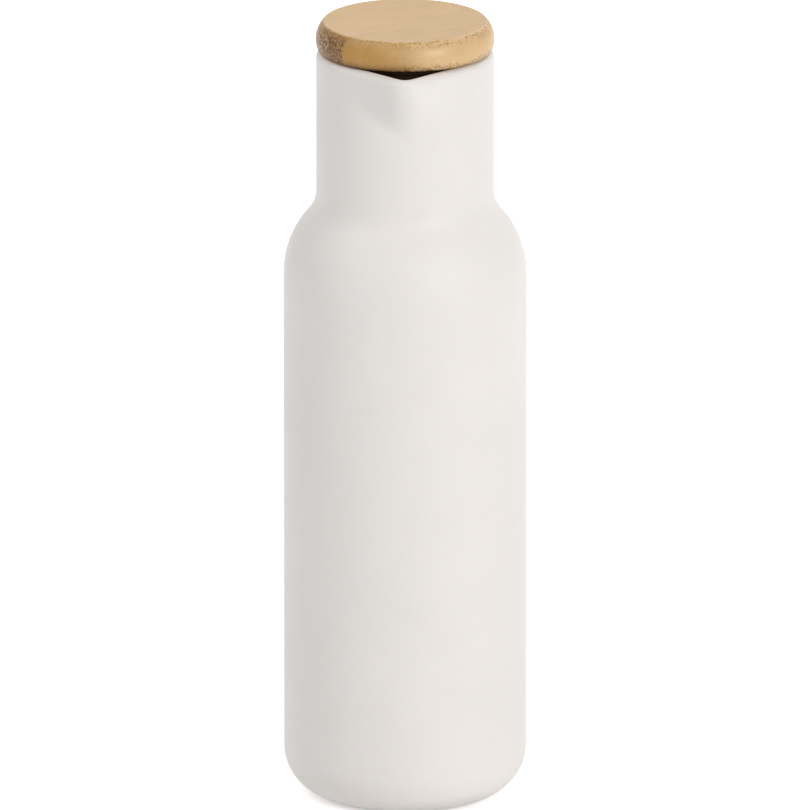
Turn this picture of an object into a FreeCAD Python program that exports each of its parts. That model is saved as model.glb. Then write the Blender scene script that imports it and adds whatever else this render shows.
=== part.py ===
"""Oil and vinegar bottle with a folded pouring beak and a lift-off stopper lid.

Millimetres, +Z up. The origin is the centre of the foot, on the bottle's axis, and the beak
points to -Y. There are three pieces: the slip-cast ceramic bottle, the bamboo lid turned in
one piece with its plug, and the silicone seal round the plug's waist.
"""
import FreeCAD, Part
import math
import os

# Body of the bottle
BODY_DIAMETER = 65.0
SHOULDER_START = 144.0      # height where the straight side ends
SHOULDER_RADIUS = 25.0
BASE_RADIUS = 12.0          # rounding between the side and the foot
WALL = 3.4
FLOOR = 5.0                 # height of the inside's floor above the table

# Foot
FOOT_LAND = 3.0             # width of the flat ring that the bottle stands on
FOOT_RECESS = 1.2
FOOT_RECESS_SLOPE = 1.8     # radial run of the recess's slanted edge

# Neck and lip
NECK_DIAMETER = 47.5
NECK_LENGTH = 38.35         # straight neck, up to the lip
NECK_FILLET_RADIUS = 10.0
LIP_OUTER_ROUNDING = 1.8
LIP_LAND = 0.1              # left between the lip's outer and inner roundings

# Pouring beak, folded out of the neck's wall
BEAK_REACH = 7.2            # how far the tip stands out from the neck
BEAK_DEPTH = 18.0           # height of the fold, from its root to the mouth
BEAK_SWELL = 2.7            # 1 opens the fold evenly, more swells it low down
NOSE_RADIUS = 5.8           # rounding outside the tip, at the mouth
NOSE_ROOT_RADIUS = 9.4      # the fold is rounder where it starts
GROOVE_RADIUS = 0.8         # rounding inside the tip, at the mouth
GROOVE_ROOT_RADIUS = 4.6
GROOVE_RISE = 2.0           # the groove inside the fold starts this much above the ridge

# Lid
LID_GAP = 0.35              # between the lip and the lid at rest
LID_THICKNESS = 7.85
LID_OVERHANG = 0.1          # lid radius beyond the neck's
LID_WIDEST = 2.8            # height of the side's widest line above the underside
LID_TOP_INSET = 2.1         # the side curves in by this much at the top
LID_UNDER_INSET = 0.7
LID_TOP_EDGE = 0.6
LID_UNDER_EDGE = 0.9
PLUG_GAP = 2.15             # between the plug and the bore, where the seal's lips reach across
PLUG_FOOT = 5.0             # length of the plug below the seal
PLUG_LEAD = 1.2             # chamfer at the plug's lower edge

# Seal, held up against the lid's underside by a shoulder of the plug
SEAL_SEAT_HEIGHT = 9.0
SEAL_SEAT_DEPTH = 1.6
SEAL_PLAY = 0.05            # between the seal and its seat
SEAL_BAND = 0.6             # how far the seal's band stands out of the plug
SEAL_LIPS = 3
SEAL_LIP_ROOT = 1.2         # height of a lip where it leaves the band
SEAL_LIP_CREST = 0.4        # height of a lip at its edge
SEAL_LIP_SWEEP = 0.3        # the lips lean up by this much
SEAL_CLEARANCE = 0.25       # between the lips and the bottle's bore

# Stations of the neck's skin
LEAD_STATIONS = 6           # below the fold
FOLD_STATIONS = 12
LIP_STATIONS = 6
OUTLINE_STATIONS = 40       # on each half of an outline
OUTLINE_CROWDING = 1.7      # above 1 the stations crowd towards the beak
JOIN_TOLERANCE = 2e-3       # how far apart faces may lie and still be joined

# Sizes that follow
BODY_R = BODY_DIAMETER / 2
NECK_R = NECK_DIAMETER / 2
BORE_R = NECK_R - WALL
FOOT_R = BODY_R - BASE_RADIUS
SHOULDER_RUN = NECK_R + NECK_FILLET_RADIUS - (BODY_R - SHOULDER_RADIUS)
SHOULDER_RISE = math.sqrt((SHOULDER_RADIUS + NECK_FILLET_RADIUS) ** 2 - SHOULDER_RUN ** 2)
NECK_START = SHOULDER_START + SHOULDER_RISE
MOUTH_HEIGHT = NECK_START + NECK_LENGTH
LIP_INNER_ROUNDING = WALL - LIP_OUTER_ROUNDING - LIP_LAND
BEAK_ROOT = MOUTH_HEIGHT - BEAK_DEPTH
GROOVE_ROOT = BEAK_ROOT + GROOVE_RISE
FOLD_ANGLE = math.acos((NECK_R - NOSE_RADIUS) / (NECK_R - NOSE_RADIUS + BEAK_REACH))
LID_UNDERSIDE = MOUTH_HEIGHT + LID_GAP
LID_TOP = LID_UNDERSIDE + LID_THICKNESS
LID_R = NECK_R + LID_OVERHANG
PLUG_R = BORE_R - PLUG_GAP
SEAL_SEAT_R = PLUG_R - SEAL_SEAT_DEPTH
SEAL_SEAT_BOTTOM = LID_UNDERSIDE - SEAL_SEAT_HEIGHT
PLUG_BOTTOM = SEAL_SEAT_BOTTOM - PLUG_FOOT

ORIGIN = FreeCAD.Vector(0, 0, 0)
UP = FreeCAD.Vector(0, 0, 1)


def between(start, end, share):
    """Value at a share of the way from start to end."""
    return start + share * (end - start)


def at(radius, height):
    """Point of a turned profile, in the half plane behind the axis."""
    return FreeCAD.Vector(0, radius, height)


def polar(centre, radius, degrees):
    """Point on a circle in the profile's plane."""
    angle = math.radians(degrees)
    return centre + at(radius * math.cos(angle), radius * math.sin(angle))


def chain(points):
    """Straight edges from point to point."""
    return [Part.makeLine(start, end) for start, end in zip(points, points[1:])]


def arc(centre, radius, start, end):
    """Circular edge in the profile's plane, from one angle to another, in degrees."""
    points = [polar(centre, radius, angle) for angle in (start, (start + end) / 2, end)]
    return Part.Arc(*points).toShape()


def turned(edges):
    """Solid of revolution about Z from a closed chain of profile edges."""
    return Part.Face(Part.Wire(edges)).revolve(ORIGIN, UP, 360)


def side_edges(inset, bottom):
    """Bottle's outline from a height at its base to the straight neck, moved in by an inset."""
    corner_r = BASE_RADIUS - inset
    shoulder_centre = at(BODY_R - SHOULDER_RADIUS, SHOULDER_START)
    fillet_centre = shoulder_centre + at(SHOULDER_RUN, SHOULDER_RISE)
    angle = math.degrees(math.atan2(SHOULDER_RISE, SHOULDER_RUN))
    return [
        arc(at(FOOT_R, bottom + corner_r), corner_r, -90, 0),
        *chain([at(BODY_R - inset, bottom + corner_r), at(BODY_R - inset, SHOULDER_START)]),
        arc(shoulder_centre, SHOULDER_RADIUS - inset, 0, angle),
        arc(fillet_centre, NECK_FILLET_RADIUS + inset, 180 + angle, 180),
    ]


def fold_radius(angle, fold, tip_r, inset):
    """Distance from the axis to the folded neck's skin, in a direction measured from -Y.

    The outline is the neck circle, a flat flank and the round tip, each tangent to the next. The
    flanks of all skins leave their circles in the same direction, so the wall between is even.
    """
    neck_r = NECK_R - inset
    if angle >= fold:
        return neck_r
    tip_centre = (neck_r - tip_r) / math.cos(fold)
    if angle >= math.atan2(tip_r * math.sin(fold), tip_centre + tip_r * math.cos(fold)):
        return neck_r / math.cos(fold - angle)
    return tip_centre * math.cos(angle) + math.sqrt(tip_r ** 2 - (tip_centre * math.sin(angle)) ** 2)


def fold_outline(height, root, inset):
    """Closed outline of the neck at a height. Above its root, the fold opens out of it."""
    share = min(max((height - root) / (MOUTH_HEIGHT - root), 0), 1)
    fold = FOLD_ANGLE * (1 - (1 - share) ** BEAK_SWELL)
    nose_r = between(NOSE_ROOT_RADIUS, NOSE_RADIUS, share)
    groove_r = between(GROOVE_ROOT_RADIUS, GROOVE_RADIUS, share)
    tip_r = between(nose_r, groove_r, inset / WALL)
    points, turns = [], []
    for step in range(-OUTLINE_STATIONS, OUTLINE_STATIONS):
        angle = math.pi * (abs(step) / OUTLINE_STATIONS) ** OUTLINE_CROWDING
        radius = fold_radius(angle, fold, tip_r, inset)
        x = math.copysign(radius * math.sin(angle), step)
        points.append(FreeCAD.Vector(x, -radius * math.cos(angle), height))
        turns.append(math.copysign(angle, step))
    outline = Part.BSplineCurve()
    outline.interpolate(Points=points, PeriodicFlag=True, Parameters=[*turns, math.pi])
    return outline


def skin_stations(root, inset, rounding, into_wall):
    """Heights and insets of one skin of the neck, from the shoulder to the lip's crest."""
    straight = MOUTH_HEIGHT - rounding
    lead, fold = (root - NECK_START) / LEAD_STATIONS, (straight - root) / FOLD_STATIONS
    heights = [NECK_START + lead * step for step in range(LEAD_STATIONS)]
    heights += [root + fold * step for step in range(FOLD_STATIONS)]
    stations = [(height, root, inset) for height in heights]
    for step in range(LIP_STATIONS + 1):
        angle = math.pi / 2 * step / LIP_STATIONS
        rolled_in = into_wall * rounding * (1 - math.cos(angle))
        stations.append((straight + rounding * math.sin(angle), root, inset + rolled_in))
    return stations


def skinned(outlines, rail_points):
    """Smooth face through closed outlines, spaced as the rail's points are."""
    spacing = [0.0]
    for before, after in zip(rail_points, rail_points[1:]):
        spacing.append(spacing[-1] + before.distanceToPoint(after))
    rails = []
    for poles in zip(*[outline.getPoles() for outline in outlines]):
        rail = Part.BSplineCurve()
        rail.interpolate(Points=list(poles), Parameters=spacing)
        rails.append(rail)
    surface = Part.BSplineSurface()
    surface.buildFromPolesMultsKnots(
        [rail.getPoles() for rail in rails],
        outlines[0].getMultiplicities(), rails[0].getMultiplicities(),
        outlines[0].getKnots(), rails[0].getKnots(), True, False,
        outlines[0].Degree, rails[0].Degree)
    return surface.toShape()


def folded_neck():
    """Neck with its pouring fold and lip: one skin, up outside, over the lip and down inside."""
    stations = skin_stations(BEAK_ROOT, 0, LIP_OUTER_ROUNDING, 1)
    stations += skin_stations(GROOVE_ROOT, WALL, LIP_INNER_ROUNDING, -1)[::-1]
    rail = [at(NECK_R - inset, height) for height, _, inset in stations]
    skin = skinned([fold_outline(*station) for station in stations], rail)
    lowest = NECK_START + JOIN_TOLERANCE
    ends = [Part.Wire(edge) for edge in skin.Edges if edge.BoundBox.ZMax < lowest]
    shell = Part.makeShell([skin, Part.makeFace(ends, "Part::FaceMakerBullseye")])
    shell.sewShape()
    return Part.makeSolid(shell)


def build_bottle():
    """One-piece ceramic bottle: turned hollow body, with the folded neck on top."""
    recess_r = FOOT_R - FOOT_LAND
    foot = chain([
        at(0, FLOOR), at(0, FOOT_RECESS), at(recess_r - FOOT_RECESS_SLOPE, FOOT_RECESS),
        at(recess_r, 0), at(FOOT_R, 0),
    ])
    rim = chain([at(NECK_R, NECK_START), at(BORE_R, NECK_START)])
    floor = chain([at(FOOT_R, FLOOR), at(0, FLOOR)])
    inside = side_edges(WALL, FLOOR)[::-1]
    body = turned([*foot, *side_edges(0, 0), *rim, *inside, *floor])
    return body.fuse([folded_neck()], JOIN_TOLERANCE).Solids[0]


def ring_edges(solid, radius, height):
    """Circular edges about the axis with a radius and a height."""
    rings = [edge for edge in solid.Edges if isinstance(edge.Curve, Part.Circle)]
    return [ring for ring in rings if abs(ring.Curve.Radius - radius) < JOIN_TOLERANCE
            and abs(ring.Curve.Center.z - height) < JOIN_TOLERANCE]


def build_lid():
    """Bamboo lid with its plug, turned in one piece, with a waist that holds the seal."""
    under_r, top_r = LID_R - LID_UNDER_INSET, LID_R - LID_TOP_INSET
    plug = chain([
        at(0, PLUG_BOTTOM), at(PLUG_R - PLUG_LEAD, PLUG_BOTTOM), at(PLUG_R, PLUG_BOTTOM + PLUG_LEAD),
        at(PLUG_R, SEAL_SEAT_BOTTOM), at(SEAL_SEAT_R, SEAL_SEAT_BOTTOM),
        at(SEAL_SEAT_R, LID_UNDERSIDE), at(under_r, LID_UNDERSIDE),
    ])
    widest = at(LID_R, LID_UNDERSIDE + LID_WIDEST)
    side = Part.Arc(at(under_r, LID_UNDERSIDE), widest, at(top_r, LID_TOP)).toShape()
    close = chain([at(top_r, LID_TOP), at(0, LID_TOP), at(0, PLUG_BOTTOM)])
    lid = turned([*plug, side, *close])
    lid = lid.makeFillet(LID_TOP_EDGE, ring_edges(lid, top_r, LID_TOP))
    return lid.makeFillet(LID_UNDER_EDGE, ring_edges(lid, under_r, LID_UNDERSIDE))


def build_seal():
    """Silicone seal: a band round the plug's waist, with lips that wipe the bottle's bore."""
    inner_r, band_r = SEAL_SEAT_R + SEAL_PLAY, PLUG_R + SEAL_BAND
    crest_r = BORE_R - SEAL_CLEARANCE
    bottom, top = SEAL_SEAT_BOTTOM + SEAL_PLAY, LID_UNDERSIDE - SEAL_PLAY
    pitch = (top - bottom) / SEAL_LIPS
    points = [at(inner_r, bottom), at(band_r, bottom)]
    for lip in range(SEAL_LIPS):
        middle = bottom + (lip + 0.5) * pitch
        crest = middle + SEAL_LIP_SWEEP
        points += [
            at(band_r, middle - SEAL_LIP_ROOT / 2), at(crest_r, crest - SEAL_LIP_CREST / 2),
            at(crest_r, crest + SEAL_LIP_CREST / 2), at(band_r, middle + SEAL_LIP_ROOT / 2),
        ]
    points += [at(band_r, top), at(inner_r, top), at(inner_r, bottom)]
    return turned(chain(points))


def contents(level):
    """What the bottle holds, filled to a level on the neck."""
    surface = chain([at(BORE_R, NECK_START), at(BORE_R, level), at(0, level)])
    floor = chain([at(0, level), at(0, FLOOR), at(FOOT_R, FLOOR)])
    return turned([*side_edges(WALL, FLOOR), *surface, *floor])


def main():
    os.makedirs("parts", exist_ok=True)
    pieces = {"bottle": build_bottle(), "lid": build_lid(), "seal": build_seal()}
    for name, solid in pieces.items():
        solid.exportStep(f"parts/{name}.step")
        print(f"{name}: valid {solid.isValid()}, {solid.Volume / 1000:.1f} cm3")
    print(f"holds {contents(BEAK_ROOT).Volume / 1000:.0f} ml up to the beak's root")


if __name__ == "__main__":
    main()
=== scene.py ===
"""Ceramic oil and vinegar bottle with a folded beak and a bamboo lid, dressed for a studio photograph.

The three solids keep their shapes. Each gets a finish whose patterns are cut out of space, in
metres about the foot's centre, so that they meet round every edge and look right from any side.
"""
import math
from types import SimpleNamespace

import bpy
import numpy as np
from bpy.props import FloatProperty, FloatVectorProperty, PointerProperty
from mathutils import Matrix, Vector


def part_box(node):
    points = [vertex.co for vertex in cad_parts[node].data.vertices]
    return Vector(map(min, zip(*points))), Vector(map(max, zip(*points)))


bl_info = {
    "name": "Oil and Vinegar Bottle",
    "version": (1, 0, 0),
    "blender": (4, 5, 0),
    "location": "View3D > Sidebar > Bottle",
    "description": "Glaze, bamboo and silicone finishes for a stoppered ceramic bottle, and its studio",
    "category": "Object",
}

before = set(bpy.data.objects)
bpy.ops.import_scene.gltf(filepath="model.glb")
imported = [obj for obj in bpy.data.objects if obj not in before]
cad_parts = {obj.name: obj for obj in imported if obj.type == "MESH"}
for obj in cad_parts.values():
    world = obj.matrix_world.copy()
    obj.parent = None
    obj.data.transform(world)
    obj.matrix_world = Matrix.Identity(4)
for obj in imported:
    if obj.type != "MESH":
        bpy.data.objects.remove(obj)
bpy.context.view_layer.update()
BOTTLE_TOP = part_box("bottle")[1].z
LID_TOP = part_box("lid")[1].z
LID_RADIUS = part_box("lid")[1].x
IMAGE_SIZE = 810


# Settings

def colour(name, default, description):
    """Colour property, as linear red, green and blue."""
    return FloatVectorProperty(
        name=name, description=description, subtype="COLOR", size=3, min=0, max=1, default=default)


def length(name, default, description):
    """Length property in metres."""
    return FloatProperty(
        name=name, description=description, default=default, min=0, unit="LENGTH", precision=5)


def power(name, default, description):
    """Lamp power property in watts."""
    return FloatProperty(name=name, description=description, default=default, min=0, unit="POWER")


def share(name, default, description):
    """Property between none and all."""
    return FloatProperty(
        name=name, description=description, default=default, min=0, max=1, subtype="FACTOR")


class GlazeSettings(bpy.types.PropertyGroup):
    glaze: colour("Glaze", (0.835, 0.797, 0.768), "Matt warm white glaze where it lies thick")
    thin_glaze: colour("Thin glaze", (0.80, 0.74, 0.69), "Glaze where it runs thin over the lip")
    clay: colour("Clay", (0.62, 0.52, 0.43), "Bare fired clay of the foot ring")
    cloud_size: length("Cloud size", 0.022, "Size of the soft clouds in the glaze's tone")
    cloud_depth: share("Cloud depth", 0.016, "How much the clouds change the tone")
    thin_band: length("Thin band", 0.0012, "How far down from the lip the glaze is thin")
    foot_band: length("Foot band", 0.0007, "Height of the wiped glaze line above the table")
    wave_size: length("Wave size", 0.016, "Size of the slow waves in the surface")
    wave_height: length("Wave height", 0.00006, "Height of the slow waves")
    peel_size: length("Peel size", 0.0011, "Size of the fine dimples that a matt glaze dries with")
    peel_height: length("Peel height", 0.000012, "Height of the fine dimples")
    roughness: share("Roughness", 0.52, "Roughness of the glaze")


class BambooSettings(bpy.types.PropertyGroup):
    # The pale tone is partly painted sheen: it holds the soft white sheen on the lid's side towards the
    # key lamp and on its top.
    pale: colour("Pale bamboo", (0.735, 0.503, 0.265), "Wood along the fibres, lightened with painted sheen")
    gold: colour("Golden bamboo", (0.505, 0.268, 0.068), "Wood whose cut ends soaked up oil")
    sheath: colour("Fibre sheaths", (0.380, 0.220, 0.058), "Sheaths round the fibre bundles")
    # Painted shade: this dark brown on the lid's under edge stands for the shadow in the gap over the
    # lip.
    gap_shade: colour("Painted gap shade", (0.090, 0.038, 0.015), "Painted shade on the under edge of the rim, over the gap to the lip")
    gap_shade_reach: length("Gap shade width", 0.0016, "How far in the painted shade reaches under the edge")
    heart: colour("Heart strips", (0.165, 0.073, 0.023), "End grain of the darker middle strips")
    vessel: colour("Vessels", (0.560, 0.350, 0.165), "Pale bundles in the heart strips' end grain")
    grain_turn: FloatProperty(
        name="Grain direction", description="Turn of the fibres from the bottle's right",
        default=math.radians(30), subtype="ANGLE")
    strip_width: length("Strip width", 0.00625, "Width of the glued strips")
    strip_offset: length("Strip offset", 0.00600, "Distance of one glue line from the axis")
    bundle_pitch: length("Bundle pitch", 0.00066, "Distance between fibre bundles across a strip")
    bundle_height: length("Bundle height", 0.00080, "Distance between fibre bundles up a strip")
    bundle_run: length("Bundle run", 0.045, "How far one bundle can be followed along the fibres")
    chatter_pitch: length("Chatter pitch", 0.00055, "Distance between the cutter's marks")
    chatter_reach: length("Chatter reach", 0.0034, "How far below the top the cutter's marks go")
    patch_size: length("Patch size", 0.005, "Distance over which the pits and marks come and go")
    cloud_size: length("Cloud size", 0.009, "Size of the soft clouds in the wood's tone")
    cloud_depth: share("Cloud depth", 0.04, "How much the clouds change the tone")
    pit_pitch: length("Pit pitch", 0.0009, "Distance between the pits round the edges")
    drift_size: length("Drift size", 0.012, "Distance over which the fibres wander")
    drift: length("Drift", 0.0005, "How far the fibres wander from straight")
    hair_size: length("Hair size", 0.00022, "Width of the finest fibres")
    relief: length("Relief", 0.00003, "Depth of the open pores after sanding")
    roughness: share("Roughness", 0.45, "Roughness of the oiled surface")
    oil: share("Oil", 0.45, "How much of the oil's gloss lies over the wood")


class SealSettings(bpy.types.PropertyGroup):
    # The silicone's brown black is partly painted shade: it is darkened to stand for the shadow in the
    # gap under the lid.
    rubber_and_gap_shade: colour("Silicone", (0.034, 0.014, 0.006), "Brown black moulded silicone")
    dust: colour("Bloom", (0.048, 0.028, 0.018), "Pale bloom on the silicone")
    grain_size: length("Grain size", 0.0003, "Grain left by the blasted mould")
    grain_height: length("Grain height", 0.00001, "Height of the mould's grain")
    roughness: share("Roughness", 0.58, "Roughness of the silicone")


class StudioSettings(bpy.types.PropertyGroup):
    camera_height: FloatProperty(
        name="Camera angle", description="Angle of the view below level", default=math.radians(16.65),
        subtype="ANGLE")
    camera_distance: length("Camera distance", 6.0, "From the camera to the bottle's axis")
    pixels_per_metre: FloatProperty(
        name="Scale", description="Pixels in a metre at the bottle's axis", default=3740, min=1)
    aim_height: length("Aim height", 0.105, "Height on the axis that the camera is aimed at")
    aim_x: FloatProperty(
        name="Aim across", description="Pixels from the image's left to the aim", default=405.1)
    aim_y: FloatProperty(
        name="Aim down", description="Pixels from the image's top to the aim", default=412.1)
    key_turn: FloatProperty(
        name="Key direction", description="Turn of the key lamp to the right of the camera",
        default=math.radians(40), subtype="ANGLE")
    key_height: FloatProperty(
        name="Key angle", description="Angle of the key lamp above level", default=math.radians(22),
        subtype="ANGLE")
    key_size: length("Key size", 0.6, "Side of the key lamp")
    key_power: power("Key power", 9.3, "Power of the key lamp")
    fill_turn: FloatProperty(
        name="Fill direction", description="Turn of the fill lamp to the right of the camera",
        default=math.radians(-75), subtype="ANGLE")
    fill_height: FloatProperty(
        name="Fill angle", description="Angle of the fill lamp above level", default=math.radians(50),
        subtype="ANGLE")
    fill_power: power("Fill power", 5.9, "Power of the fill lamp")
    back_turn: FloatProperty(
        name="Back direction", description="Turn of the back lamp to the right of the camera",
        default=math.radians(150), subtype="ANGLE")
    back_height: FloatProperty(
        name="Back angle", description="Angle of the back lamp above level", default=math.radians(40),
        subtype="ANGLE")
    back_power: power("Back power", 6.2, "Power of the back lamp")
    soft_size: length("Fill and back size", 0.9, "Side of the fill and back lamps")
    lamp_distance: length("Lamp distance", 1.5, "From each lamp to the bottle")
    surround: share("Surround", 0.4, "Light that the white studio gives from all sides")
    floor_size: length("Floor size", 8.0, "Side of the floor")
    floor_white: share("Floor white", 0.5, "Plain white added to the floor near the bottle")
    shadow_reach: length("Shadow reach", 1.0, "How far from the bottle the floor turns plain white")


# Node helpers

SMALLER = 6          # small clouds are this many times smaller than the broad ones
FAINTER = 0.35       # and have this share of their strength
NOISE_REACH = 4      # noise stays within about a quarter of its middle, so this brings it to 1


def add(tree, kind, inputs=None, **settings):
    """Adds a shader node. Each input takes a plain value or a socket to link from."""
    made = tree.nodes.new("ShaderNode" + kind)
    for key, value in settings.items():
        setattr(made, key, value)
    for key, value in (inputs or {}).items():
        if isinstance(value, bpy.types.NodeSocket):
            tree.links.new(value, made.inputs[key])
        else:
            made.inputs[key].default_value = value
    return made


def calc(tree, operation, *values):
    """Output of a maths node."""
    return add(tree, "Math", dict(enumerate(values)), operation=operation).outputs[0]


def times(tree, first, *others):
    """Product of values."""
    for other in others:
        first = calc(tree, "MULTIPLY", first, other)
    return first


def vector_calc(tree, operation, *values):
    """Output of a vector maths node."""
    return add(tree, "VectorMath", dict(enumerate(values)), operation=operation).outputs[0]


def step(tree, value, start, end):
    """Smooth step of a value, 0 at start and 1 at end."""
    return add(tree, "MapRange", {"Value": value, "From Min": start, "From Max": end},
               interpolation_type="SMOOTHSTEP").outputs["Result"]


def blend(tree, factor, first, second):
    """Mix of two colours."""
    mixed = add(tree, "Mix", {0: factor}, data_type="RGBA")
    for index, value in ((6, first), (7, second)):
        if isinstance(value, bpy.types.NodeSocket):
            tree.links.new(value, mixed.inputs[index])
        else:
            mixed.inputs[index].default_value = (*value, 1)
    return mixed.outputs[2]


def place(tree, group, inputs):
    """Places a node group and returns its first output."""
    made = tree.nodes.new("ShaderNodeGroup")
    made.node_tree = group
    for key, value in inputs.items():
        if isinstance(value, bpy.types.NodeSocket):
            tree.links.new(value, made.inputs[key])
        else:
            made.inputs[key].default_value = value
    return made.outputs[0]


def new_group(name, sockets, result, result_kind):
    """Empty node group with named inputs and one output, and its input and output nodes."""
    group = bpy.data.node_groups.new(name, "ShaderNodeTree")
    for label, kind in sockets:
        group.interface.new_socket(label, in_out="INPUT", socket_type="NodeSocket" + kind)
    group.interface.new_socket(result, in_out="OUTPUT", socket_type="NodeSocket" + result_kind)
    start = group.nodes.new("NodeGroupInput").outputs
    return group, start, group.nodes.new("NodeGroupOutput").inputs[0]


def relief_group():
    """Height of an uneven surface: noise of a given size, with finer noise on top."""
    if "Relief" in bpy.data.node_groups:
        return bpy.data.node_groups["Relief"]
    group, start, end = new_group(
        "Relief", (("Vector", "Vector"), ("Size", "Float"), ("Detail", "Float")), "Height", "Float")
    scale = calc(group, "DIVIDE", 1, start["Size"])
    noise = add(group, "TexNoise", {"Vector": start["Vector"], "Scale": scale,
                                    "Detail": start["Detail"], "Roughness": 0.5})
    group.links.new(noise.outputs["Fac"], end)
    return group


def cloud_group():
    """Tone that drifts a little lighter and darker in soft clouds, with fainter small ones on top."""
    if "Clouds" in bpy.data.node_groups:
        return bpy.data.node_groups["Clouds"]
    group, start, end = new_group(
        "Clouds", (("Vector", "Vector"), ("Size", "Float"), ("Depth", "Float"), ("Colour", "Color")),
        "Colour", "Color")
    broad = place(group, relief_group(), {
        "Vector": start["Vector"], "Size": start["Size"], "Detail": 1.5})
    small_size = calc(group, "DIVIDE", start["Size"], SMALLER)
    small = place(group, relief_group(), {
        "Vector": start["Vector"], "Size": small_size, "Detail": 3.0})
    both = calc(group, "MULTIPLY_ADD", small, FAINTER, broad)
    swing = calc(group, "SUBTRACT", both, (1 + FAINTER) / 2)
    value = calc(group, "MULTIPLY_ADD", swing, times(group, start["Depth"], NOISE_REACH), 1)
    tone = add(group, "HueSaturation", {"Color": start["Colour"], "Value": value})
    group.links.new(tone.outputs["Color"], end)
    return group


def bump(tree, height, distance, below=None):
    """Normal bent by a height that stands for a distance in metres."""
    inputs = {"Height": height, "Distance": distance, "Strength": 1}
    if below is not None:
        inputs["Normal"] = below
    return add(tree, "Bump", inputs).outputs["Normal"]


def new_material(name):
    """Empty material, its node tree, its Principled shader and its Texture Coordinate node."""
    material = bpy.data.materials.new(name)
    material.use_nodes = True
    tree = material.node_tree
    tree.nodes.clear()
    shader = add(tree, "BsdfPrincipled")
    output = add(tree, "OutputMaterial")
    tree.links.new(shader.outputs["BSDF"], output.inputs["Surface"])
    return material, tree, shader, add(tree, "TexCoord")


def dress(node_name, material):
    """Puts a material in every slot of one of the solids."""
    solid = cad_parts[node_name]
    for slot in solid.material_slots:
        slot.material = material


# Glaze

GLAZE_LINE_HALF = 0.0001           # half of the soft edge where the glaze was wiped off
GLAZE_SWING = 0.12                 # how much the waves change the glaze's roughness
CLAY_ROUGHNESS = 0.85
CLAY_DEPTH = 0.12                  # depth of the clouds in the bare clay
CLAY_SMALLER = 5                   # they are this many times smaller than the glaze's


def glaze_material(settings):
    """Matt white glaze with soft clouds, waves and dimples, thin on the lip, wiped off the foot."""
    material, tree, shader, coordinates = new_material("Matt_glaze")
    position = coordinates.outputs["Object"]
    height = add(tree, "SeparateXYZ", {0: position}).outputs["Z"]
    clouded = place(tree, cloud_group(), {
        "Vector": position, "Size": settings.cloud_size, "Depth": settings.cloud_depth,
        "Colour": (*settings.glaze, 1)})
    waves = place(tree, relief_group(), {
        "Vector": position, "Size": settings.wave_size, "Detail": 1.0})
    peel = place(tree, relief_group(), {
        "Vector": position, "Size": settings.peel_size, "Detail": 2.0})

    thin = step(tree, height, BOTTLE_TOP - settings.thin_band, BOTTLE_TOP)
    glazed = blend(tree, times(tree, thin, peel), clouded, settings.thin_glaze)
    # the waves lie about a half, so the glaze line wanders about the foot band's height
    wiped_at = times(tree, waves, 2 * settings.foot_band)
    above = calc(tree, "SUBTRACT", height, wiped_at)
    glaze_line = step(tree, above, -GLAZE_LINE_HALF, GLAZE_LINE_HALF)
    clay = place(tree, cloud_group(), {
        "Vector": position, "Size": settings.cloud_size / CLAY_SMALLER, "Depth": CLAY_DEPTH,
        "Colour": (*settings.clay, 1)})
    tree.links.new(blend(tree, glaze_line, clay, glazed), shader.inputs["Base Color"])

    glazed_part = calc(tree, "MULTIPLY_ADD", waves, GLAZE_SWING,
                       settings.roughness - GLAZE_SWING / 2)
    drop = calc(tree, "SUBTRACT", glazed_part, CLAY_ROUGHNESS)
    roughness = calc(tree, "MULTIPLY_ADD", drop, glaze_line, CLAY_ROUGHNESS)
    tree.links.new(roughness, shader.inputs["Roughness"])
    bent = bump(tree, waves, settings.wave_height)
    bent = bump(tree, peel, settings.peel_height, bent)
    tree.links.new(bent, shader.inputs["Normal"])
    return material


# Bamboo

# Each pair is a range: an effect starts at its first value and is complete at its second.
# Parts of the surface's unit normal, turned to the grain: X lies along the fibres, Z is up.
END_FACING = (0.55, 0.95)          # X or -X: the fibres are cut across
SOAKED_LEAN = 0.25                 # X of the least soaked facing, so that the end at -X soaks most and the side towards the key lamp keeps the pale tone with its painted sheen
SOAKED_FACING = (0.50, 1.05)       # distance of X from that: soaked with oil
TOP_FACING = (0.95, 0.99)          # Z or -Z: level faces, which take less of the pale tone
EDGE_FACING = (0.40, 0.70)         # Z or -Z: rounded edges and level faces
NOT_FLAT_FACING = (0.999, 0.93)    # Z or -Z: all but the level faces
LOW_FACING = (-0.06, -0.26)        # Z: the side below its widest line
SHADED_UNDER_FACING = (-0.14, -0.50)      # Z: the under edge, which gets painted shade for the gap below it
MARK_SIDE_FACING = (0.95, 0.75)    # Z or -Z: off the top face
MARK_END_FACING = (0.20, 0.50)     # X or -X: where the cutter met the fibres across

# Height of the patch noise at which each effect comes in.
PORE_PATCH = (0.32, 0.52)
PIT_PATCH = (0.22, 0.42)
LOW_PIT_PATCH = (0.30, 0.50)
MARK_PATCH = (0.35, 0.60)

# Distance from the middle of a cell, in its own pitch.
BUNDLE_CORE = 0.22                 # radius of a bundle at one side of its strip
BUNDLE_GROWTH = 0.18               # how much wider the bundles are at the other side
BUNDLE_BLUR = 0.16                 # soft rim round a bundle
PALE_DISTANCE = (0.60, 0.30)       # pale middle of a bundle in the heart strips
PIT_DISTANCE = (0.46, 0.26)        # pit by the lid's edges

# Chances, from 0 to 1.
BUNDLE_DISORDER = 0.75             # 0 sets the bundles in rows, 1 scatters them
PALE_LUCK = (-0.3, 0.6)            # chance value of a bundle, from dark to pale

# Strips, counted from the glue line at the strip offset.
GLUE_HALF = 0.025                  # half of a glue line's width, as a part of the strip
HEART_MIDDLE = -0.5
HEART_HALF = 1.5                   # half the number of heart strips
HEART_BLUR = 0.10                  # width of the heart's soft boundary, in strips
HEART_WANDER = 0.12                # how far that boundary wanders, in strips

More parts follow.
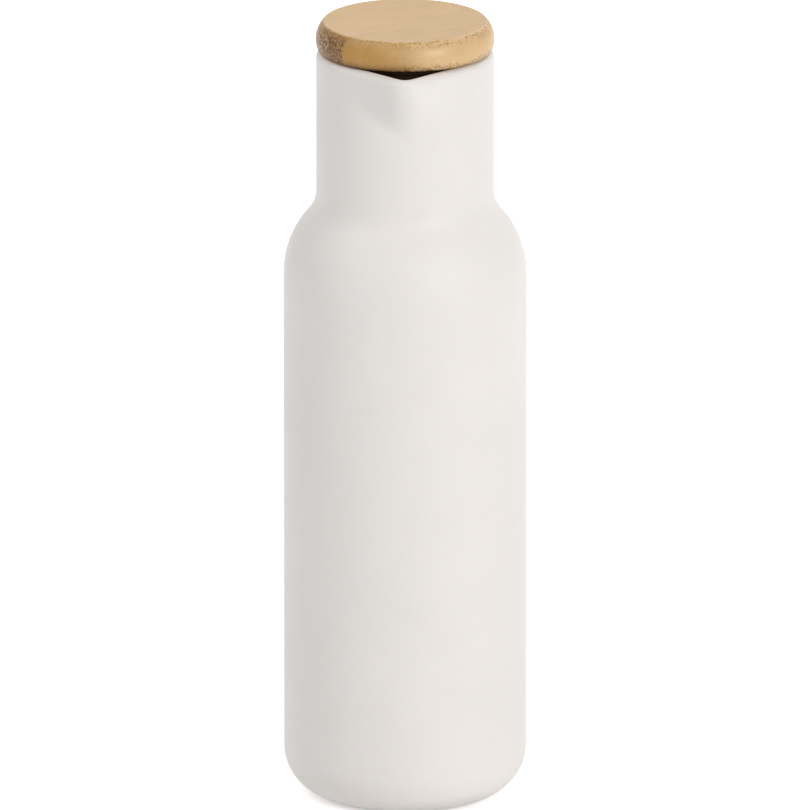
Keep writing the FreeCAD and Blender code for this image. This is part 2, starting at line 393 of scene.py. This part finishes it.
# How much of each tone is laid over the one before.
GOLD_LEAST = 0.05
GOLD_WITHIN = 0.04                 # more from one side of a strip to the other
GOLD_BY_STRIP = 0.05               # more from strip to strip
GOLD_ON_TOP = 0.20
GOLD_SOAKED = 0.85
SHEATH_LEAST = 0.03
SHEATH_AT_ENDS = 0.08
SHEATH_IN_PORES = 0.50
GLUE_DARK = 0.08
PIT_DARK = 0.80
MARK_DARK = 0.45
HEART_DARK = 0.92
# Painted shade on the lid's under edge, over the shadowed gap: its least strength and its swing.
UNDER_SHADE_LEAST = 0.45
UNDER_SHADE_SWING = 0.45

# The finest fibres, the drift and the cutter's marks.
HAIR_STREAK = 0.16                 # how much the finest fibres change the tone
HAIR_STRETCH = 0.008               # slows their noise down along X, so that they run long
HAIR_ROUGHNESS = 0.10              # how much they change the roughness
END_ROUGHNESS = 0.12               # end grain is rougher by this
DRIFT_STRETCH = 0.15               # slows the drift down along X
STRIP_SHIFT = (0.3, 0.1)           # most that a strip's pattern is moved along and up, in metres
WAVE_RATE = 20                     # radians of the Wave texture in each unit of its position


def turned_to_grain(tree, vector, settings):
    """Vector turned about Z so that X runs along the fibres."""
    return add(tree, "VectorRotate", {"Vector": vector, "Angle": -settings.grain_turn},
               rotation_type="Z_AXIS").outputs[0]


def fibre_space(tree, position, chance, settings):
    """Position whose fibres drift a little and lie differently in each strip."""
    slow = vector_calc(tree, "MULTIPLY", position, (DRIFT_STRETCH, 1, 1))
    noise = add(tree, "TexNoise", {"Vector": slow, "Scale": 1 / settings.drift_size, "Detail": 2})
    drift = vector_calc(tree, "SUBTRACT", noise.outputs["Color"], (0.5, 0.5, 0.5))
    drift = vector_calc(tree, "MULTIPLY", drift, (0, settings.drift, settings.drift))
    along, up = (calc(tree, "MULTIPLY", chance, most) for most in STRIP_SHIFT)
    shift = add(tree, "CombineXYZ", {"X": along, "Z": up}).outputs[0]
    return vector_calc(tree, "ADD", vector_calc(tree, "ADD", position, drift), shift)


def lid_surface(tree, coordinates, settings):
    """Position and facing on the lid, turned to the grain, and the places that they pick out."""
    position = turned_to_grain(tree, coordinates.outputs["Object"], settings)
    facing = turned_to_grain(tree, coordinates.outputs["Normal"], settings)
    facing = add(tree, "SeparateXYZ", {0: facing}).outputs
    along = calc(tree, "ABSOLUTE", facing["X"])
    upright = calc(tree, "ABSOLUTE", facing["Z"])
    lean = calc(tree, "ABSOLUTE", calc(tree, "SUBTRACT", facing["X"], SOAKED_LEAN))
    flat = vector_calc(tree, "MULTIPLY", position, (1, 1, 0))
    radius = add(tree, "VectorMath", {0: flat}, operation="LENGTH").outputs["Value"]
    reach = settings.gap_shade_reach
    rim = step(tree, radius, LID_RADIUS - reach, LID_RADIUS - reach / 2)
    not_flat = step(tree, upright, *NOT_FLAT_FACING)
    return SimpleNamespace(
        position=position, facing=facing, along=along, upright=upright, not_flat=not_flat,
        end_grain=step(tree, along, *END_FACING),
        soaked=step(tree, lean, *SOAKED_FACING),
        rounding=times(tree, step(tree, upright, *EDGE_FACING), not_flat),
        # the under edge next to the gap, which takes the painted shade
        shaded_under_rim=times(tree, rim, step(tree, facing["Z"], *SHADED_UNDER_FACING)),
        patches=place(tree, relief_group(), {
            "Vector": position, "Size": settings.patch_size, "Detail": 1.0}))


def strip_grain(tree, surface, settings):
    """Glued strips and their fibre bundles, which are dots on end grain and streaks along it."""
    across = add(tree, "SeparateXYZ", {0: surface.position}).outputs["Y"]
    past_line = calc(tree, "SUBTRACT", across, settings.strip_offset)
    count = calc(tree, "DIVIDE", past_line, settings.strip_width)
    strip = calc(tree, "FLOOR", count)
    within = calc(tree, "FRACT", count)
    chance = add(tree, "TexWhiteNoise", {"W": strip}, noise_dimensions="1D").outputs["Value"]
    edge = calc(tree, "MINIMUM", within, calc(tree, "SUBTRACT", 1, within))
    glue = calc(tree, "SUBTRACT", 1, step(tree, edge, 0.0, GLUE_HALF))

    fibre = fibre_space(tree, surface.position, chance, settings)
    pitch = settings.bundle_pitch
    stretched = vector_calc(tree, "MULTIPLY", fibre, (
        pitch / settings.bundle_run, 1, pitch / settings.bundle_height))
    cells = add(tree, "TexVoronoi", {
        "Vector": stretched, "Scale": 1 / pitch, "Randomness": BUNDLE_DISORDER}).outputs
    core = calc(tree, "MULTIPLY_ADD", within, BUNDLE_GROWTH, BUNDLE_CORE)
    bundle = step(tree, cells["Distance"], calc(tree, "ADD", core, BUNDLE_BLUR), core)
    hair = add(tree, "TexNoise", {
        "Vector": vector_calc(tree, "MULTIPLY", fibre, (HAIR_STRETCH, 1, 1)),
        "Scale": 1 / settings.hair_size, "Detail": 2}).outputs["Fac"]
    return SimpleNamespace(count=count, within=within, chance=chance, glue=glue, fibre=fibre,
                           cells=cells, bundle=bundle, hair=hair)


def plain_wood(tree, surface, grain, settings):
    """Wood of a plain strip: pale along the fibres, with painted sheen in the pale tone, golden on the
    level faces and at the cut ends.
    """
    gold = calc(tree, "MULTIPLY_ADD", grain.within, GOLD_WITHIN, GOLD_LEAST)
    gold = calc(tree, "MULTIPLY_ADD", grain.chance, GOLD_BY_STRIP, gold)
    gold = calc(tree, "MULTIPLY_ADD", step(tree, surface.upright, *TOP_FACING), GOLD_ON_TOP, gold)
    gold = calc(tree, "MULTIPLY_ADD", surface.soaked, GOLD_SOAKED, gold)
    wood = blend(tree, gold, settings.pale, settings.gold)
    wood = place(tree, cloud_group(), {
        "Vector": grain.fibre, "Size": settings.cloud_size, "Depth": settings.cloud_depth,
        "Colour": wood})
    streak = calc(tree, "MULTIPLY_ADD", grain.hair, HAIR_STREAK, 1 - HAIR_STREAK / 2)
    wood = add(tree, "HueSaturation", {"Color": wood, "Value": streak}).outputs["Color"]

    open_pores = times(tree, surface.rounding, step(tree, surface.patches, *PORE_PATCH))
    sheath = calc(tree, "MULTIPLY_ADD", surface.end_grain, SHEATH_AT_ENDS, SHEATH_LEAST)
    sheath = calc(tree, "MULTIPLY_ADD", open_pores, SHEATH_IN_PORES, sheath)
    wood = blend(tree, times(tree, grain.bundle, sheath), wood, settings.sheath)
    return blend(tree, times(tree, grain.glue, GLUE_DARK), wood, settings.sheath)


def edge_pits(tree, surface, settings):
    """Pits that the bundles leave round the top edge and under the side's widest line."""
    distance = add(tree, "TexVoronoi", {
        "Vector": surface.position, "Scale": 1 / settings.pit_pitch}).outputs["Distance"]
    top_edge = times(tree, surface.rounding, step(tree, surface.patches, *PIT_PATCH))
    low_edge = times(tree, step(tree, surface.facing["Z"], *LOW_FACING),
                     step(tree, surface.patches, *LOW_PIT_PATCH), surface.not_flat)
    pitted = calc(tree, "MAXIMUM", top_edge, low_edge)
    return times(tree, step(tree, distance, *PIT_DISTANCE), pitted, PIT_DARK)


def cutter_marks(tree, surface, settings):
    """Marks of the cutter across the fibres, on the side just under the top edge."""
    bands = 2 * math.pi / WAVE_RATE / settings.chatter_pitch
    chatter = add(tree, "TexWave", {"Vector": surface.position, "Scale": bands, "Distortion": 1.5},
                  bands_direction="X").outputs["Fac"]
    height = add(tree, "SeparateXYZ", {0: surface.position}).outputs["Z"]
    reach = settings.chatter_reach
    marked = times(
        tree, step(tree, height, LID_TOP - reach, LID_TOP - reach / 3),
        step(tree, surface.upright, *MARK_SIDE_FACING), step(tree, surface.along, *MARK_END_FACING),
        step(tree, surface.patches, *MARK_PATCH))
    return times(tree, chatter, marked, MARK_DARK)


def with_heart(tree, wood, surface, grain, settings):
    """Wood with the three heart strips, dark with pale bundles where they are cut across."""
    off = calc(tree, "ABSOLUTE", calc(tree, "SUBTRACT", grain.count, HEART_MIDDLE))
    off = calc(tree, "MULTIPLY_ADD", surface.patches, HEART_WANDER, off)
    heart = times(tree, step(tree, off, HEART_HALF + HEART_BLUR, HEART_HALF), surface.end_grain)
    luck = add(tree, "SeparateXYZ", {0: grain.cells["Color"]}).outputs["X"]
    pale = times(tree, step(tree, grain.cells["Distance"], *PALE_DISTANCE),
                 step(tree, luck, *PALE_LUCK))
    dark = blend(tree, pale, settings.heart, settings.vessel)
    return blend(tree, times(tree, heart, HEART_DARK), wood, dark)


def bamboo_material(settings):
    """Bamboo glued from upright strips: plain wood, pits, cutter's marks, heart, and painted shade
    under the rim.
    """
    material, tree, shader, coordinates = new_material("Laminated_bamboo")
    surface = lid_surface(tree, coordinates, settings)
    grain = strip_grain(tree, surface, settings)
    wood = plain_wood(tree, surface, grain, settings)
    wood = blend(tree, edge_pits(tree, surface, settings), wood, settings.sheath)
    wood = blend(tree, cutter_marks(tree, surface, settings), wood, settings.sheath)
    wood = with_heart(tree, wood, surface, grain, settings)
    # Painted shade in the gap under the rim, strongest over the bundles and on the golden end.
    darkest = calc(tree, "MAXIMUM", grain.bundle, surface.soaked)
    under_shade = calc(tree, "MULTIPLY_ADD", darkest, UNDER_SHADE_SWING, UNDER_SHADE_LEAST)
    wood = blend(tree, times(tree, surface.shaded_under_rim, under_shade), wood, settings.gap_shade)
    tree.links.new(wood, shader.inputs["Base Color"])

    roughness = calc(tree, "MULTIPLY_ADD", surface.end_grain, END_ROUGHNESS, settings.roughness)
    roughness = calc(tree, "MULTIPLY_ADD", grain.hair, HAIR_ROUGHNESS,
                     calc(tree, "SUBTRACT", roughness, HAIR_ROUGHNESS / 2))
    tree.links.new(roughness, shader.inputs["Roughness"])
    shader.inputs["Specular IOR Level"].default_value = 0.05
    shader.inputs["Coat Weight"].default_value = settings.oil
    shader.inputs["Coat Roughness"].default_value = 0.28
    bent = bump(tree, calc(tree, "SUBTRACT", 1, grain.bundle), settings.relief)
    bent = bump(tree, grain.hair, settings.relief / 3, bent)
    tree.links.new(bent, shader.inputs["Normal"])
    return material


# Silicone

BLOOM_SIZE = 0.006                 # metres
BLOOM_RANGE = (0.45, 0.80)         # noise from bare rubber to full bloom
BLOOM_ROUGHNESS = 0.2              # how much the bloom changes the roughness


def silicone_material(settings):
    """Brown black moulded silicone with a fine grain and a faint bloom, its dark brown partly painted
    shade for the gap under the lid.
    """
    material, tree, shader, coordinates = new_material("Dark_silicone")
    position = coordinates.outputs["Object"]
    grain = place(tree, relief_group(), {
        "Vector": position, "Size": settings.grain_size, "Detail": 2.0})
    bloom = place(tree, relief_group(), {
        "Vector": position, "Size": BLOOM_SIZE, "Detail": 3.0})
    tone = blend(tree, step(tree, bloom, *BLOOM_RANGE), settings.rubber_and_gap_shade, settings.dust)
    tree.links.new(tone, shader.inputs["Base Color"])
    roughness = calc(tree, "MULTIPLY_ADD", bloom, BLOOM_ROUGHNESS,
                     settings.roughness - BLOOM_ROUGHNESS / 2)
    tree.links.new(roughness, shader.inputs["Roughness"])
    shader.inputs["Specular IOR Level"].default_value = 0.3
    tree.links.new(bump(tree, grain, settings.grain_height), shader.inputs["Normal"])
    return material


# Studio

FLOOR_LINES = 9                    # grid lines each way
FLOOR_TONE = (0.92, 0.92, 0.92, 1)
FLOOR_CLOUD_SIZE = 0.4             # metres
FLOOR_CLOUD_DEPTH = 0.01
VIEW_REACH = 100                   # metres that the camera sees


def grid_mesh(name, points):
    """Mesh of quads through a grid of points, an array of rows by columns by three."""
    rows, columns = points.shape[:2]
    index = np.arange(rows * columns).reshape(rows, columns)
    corners = (index[:-1, :-1], index[:-1, 1:], index[1:, 1:], index[1:, :-1])
    faces = np.stack([corner.ravel() for corner in corners], axis=1)
    mesh = bpy.data.meshes.new(name)
    mesh.from_pydata(points.reshape(-1, 3).tolist(), [], faces.tolist())
    mesh.shade_smooth()
    return mesh


def floor_points(size):
    """Floor: a level square at height 0, as a grid of X and Y from minus to plus half its side."""
    across = np.linspace(-size / 2, size / 2, FLOOR_LINES)
    x, y = np.meshgrid(across, across)
    return np.stack([x, y, np.zeros_like(x)], axis=2)


def seen_directly(tree):
    """1 for what the camera sees itself, in a reflection or through glass, and 0 for stray light."""
    path = add(tree, "LightPath").outputs
    seen = calc(tree, "MAXIMUM", path["Is Camera Ray"], path["Is Glossy Ray"])
    return calc(tree, "MAXIMUM", seen, path["Is Transmission Ray"])


def floor_material(settings):
    """White floor that keeps the soft shadow, with plain white added where it is looked at."""
    material = bpy.data.materials.new("White_floor")
    material.use_nodes = True
    tree = material.node_tree
    tree.nodes.clear()
    position = add(tree, "TexCoord").outputs["Object"]
    tone = place(tree, cloud_group(), {
        "Vector": position, "Size": FLOOR_CLOUD_SIZE, "Depth": FLOOR_CLOUD_DEPTH,
        "Colour": FLOOR_TONE})
    lit = add(tree, "BsdfDiffuse", {"Color": tone})
    away = add(tree, "VectorMath", {0: position}, operation="LENGTH").outputs["Value"]
    far = step(tree, away, settings.shadow_reach / 3, settings.shadow_reach)
    amount = calc(tree, "MULTIPLY_ADD", far, 1 - settings.floor_white, settings.floor_white)
    added = calc(tree, "MULTIPLY", seen_directly(tree), amount)
    white = add(tree, "Emission", {"Color": (1, 1, 1, 1), "Strength": added})
    both = add(tree, "AddShader", {0: lit.outputs[0], 1: white.outputs[0]})
    output = add(tree, "OutputMaterial")
    tree.links.new(both.outputs[0], output.inputs["Surface"])
    return material


def build_floor(settings):
    """Floor under the bottle."""
    mesh = grid_mesh("Studio_floor", floor_points(settings.floor_size))
    floor = bpy.data.objects.new("Studio_floor", mesh)
    bpy.context.scene.collection.objects.link(floor)
    floor.data.materials.append(floor_material(settings))


def light_world(settings):
    """White studio all round: plain white where it is seen, and a little less as light."""
    world = bpy.data.worlds.new("White_studio")
    world.use_nodes = True
    tree = world.node_tree
    tree.nodes.clear()
    brightness = calc(tree, "MULTIPLY_ADD", seen_directly(tree), 1 - settings.surround,
                      settings.surround)
    background = add(tree, "Background", {"Color": (1, 1, 1, 1), "Strength": brightness})
    output = add(tree, "OutputWorld")
    tree.links.new(background.outputs[0], output.inputs["Surface"])
    bpy.context.scene.world = world


def direction(turn, height):
    """Unit vector towards a lamp or camera: turned right of the front, and raised above level."""
    return Vector((math.sin(turn) * math.cos(height), -math.cos(turn) * math.cos(height),
                   math.sin(height)))


def aim(thing, away, distance, target):
    """Places a lamp or camera at a distance from a target and turns it to look there."""
    thing.location = target + away * distance
    thing.rotation_euler = away.to_track_quat("Z", "Y").to_euler()


def add_lamp(name, turn, height, distance, size, energy):
    """Square soft lamp aimed at the middle of the bottle."""
    lamp = bpy.data.lights.new(name, "AREA")
    lamp.shape = "SQUARE"
    lamp.size = size
    lamp.energy = energy
    holder = bpy.data.objects.new(name, lamp)
    bpy.context.scene.collection.objects.link(holder)
    aim(holder, direction(turn, height), distance, Vector((0, 0, LID_TOP / 2)))


def light_lamps(settings):
    """Key lamp right of the camera, and softer ones at the left and at the back on the right."""
    away = settings.lamp_distance
    add_lamp("Key_lamp", settings.key_turn, settings.key_height, away, settings.key_size,
             settings.key_power)
    add_lamp("Fill_lamp", settings.fill_turn, settings.fill_height, away, settings.soft_size,
             settings.fill_power)
    add_lamp("Back_lamp", settings.back_turn, settings.back_height, away, settings.soft_size,
             settings.back_power)


def set_camera(settings):
    """Long lens at the photograph's height, with the bottle where the photograph has it."""
    data = bpy.data.cameras.new("Product_camera")
    data.sensor_fit = "HORIZONTAL"
    pixels = settings.pixels_per_metre * settings.camera_distance
    data.lens = data.sensor_width * pixels / IMAGE_SIZE
    data.shift_x = (IMAGE_SIZE / 2 - settings.aim_x) / IMAGE_SIZE
    data.shift_y = (settings.aim_y - IMAGE_SIZE / 2) / IMAGE_SIZE
    data.clip_end = VIEW_REACH
    camera = bpy.data.objects.new("Product_camera", data)
    bpy.context.scene.collection.objects.link(camera)
    target = Vector((0, 0, settings.aim_height))
    aim(camera, direction(0, settings.camera_height), settings.camera_distance, target)
    bpy.context.scene.camera = camera


# Operators

class BOTTLE_OT_glaze_body(bpy.types.Operator):
    """Glaze the bottle, its lip and its inside, and leave the foot ring bare"""
    bl_idname = "bottle.glaze_body"
    bl_label = "Glaze the Bottle"

    def execute(self, context):
        dress("bottle", glaze_material(context.scene.bottle_glaze))
        return {"FINISHED"}


class BOTTLE_OT_finish_lid(bpy.types.Operator):
    """Give the lid and its plug the strips and fibres of laminated bamboo"""
    bl_idname = "bottle.finish_lid"
    bl_label = "Finish the Lid"

    def execute(self, context):
        dress("lid", bamboo_material(context.scene.bottle_bamboo))
        return {"FINISHED"}


class BOTTLE_OT_finish_seal(bpy.types.Operator):
    """Give the seal its dark silicone"""
    bl_idname = "bottle.finish_seal"
    bl_label = "Finish the Seal"

    def execute(self, context):
        dress("seal", silicone_material(context.scene.bottle_seal))
        return {"FINISHED"}


class BOTTLE_OT_build_studio(bpy.types.Operator):
    """Build the white floor, the soft light and the camera"""
    bl_idname = "bottle.build_studio"
    bl_label = "Build the Studio"

    def execute(self, context):
        settings = context.scene.bottle_studio
        build_floor(settings)
        light_world(settings)
        light_lamps(settings)
        set_camera(settings)
        context.scene.view_settings.view_transform = "Standard"
        return {"FINISHED"}


class BOTTLE_PT_panel(bpy.types.Panel):
    """Settings of the bottle's finishes and studio, each with its operator"""
    bl_label = "Oil and Vinegar Bottle"
    bl_idname = "BOTTLE_PT_panel"
    bl_space_type = "VIEW_3D"
    bl_region_type = "UI"
    bl_category = "Bottle"

    def draw(self, context):
        for attribute, kind, operator in SECTIONS:
            box = self.layout.box()
            for name in kind.__annotations__:
                box.prop(getattr(context.scene, attribute), name)
            box.operator(operator.bl_idname)


SECTIONS = (
    ("bottle_glaze", GlazeSettings, BOTTLE_OT_glaze_body),
    ("bottle_bamboo", BambooSettings, BOTTLE_OT_finish_lid),
    ("bottle_seal", SealSettings, BOTTLE_OT_finish_seal),
    ("bottle_studio", StudioSettings, BOTTLE_OT_build_studio),
)


def register():
    """Registers the settings, the operators and the panel."""
    for attribute, kind, operator in SECTIONS:
        bpy.utils.register_class(kind)
        setattr(bpy.types.Scene, attribute, PointerProperty(type=kind))
        bpy.utils.register_class(operator)
    bpy.utils.register_class(BOTTLE_PT_panel)


def unregister():
    """Takes them off again, in the opposite order."""
    bpy.utils.unregister_class(BOTTLE_PT_panel)
    for attribute, kind, operator in reversed(SECTIONS):
        bpy.utils.unregister_class(operator)
        delattr(bpy.types.Scene, attribute)
        bpy.utils.unregister_class(kind)


def main():
    """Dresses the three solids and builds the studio."""
    register()
    bpy.ops.bottle.glaze_body()
    bpy.ops.bottle.finish_lid()
    bpy.ops.bottle.finish_seal()
    bpy.ops.bottle.build_studio()


if __name__ == "__main__":
    main()
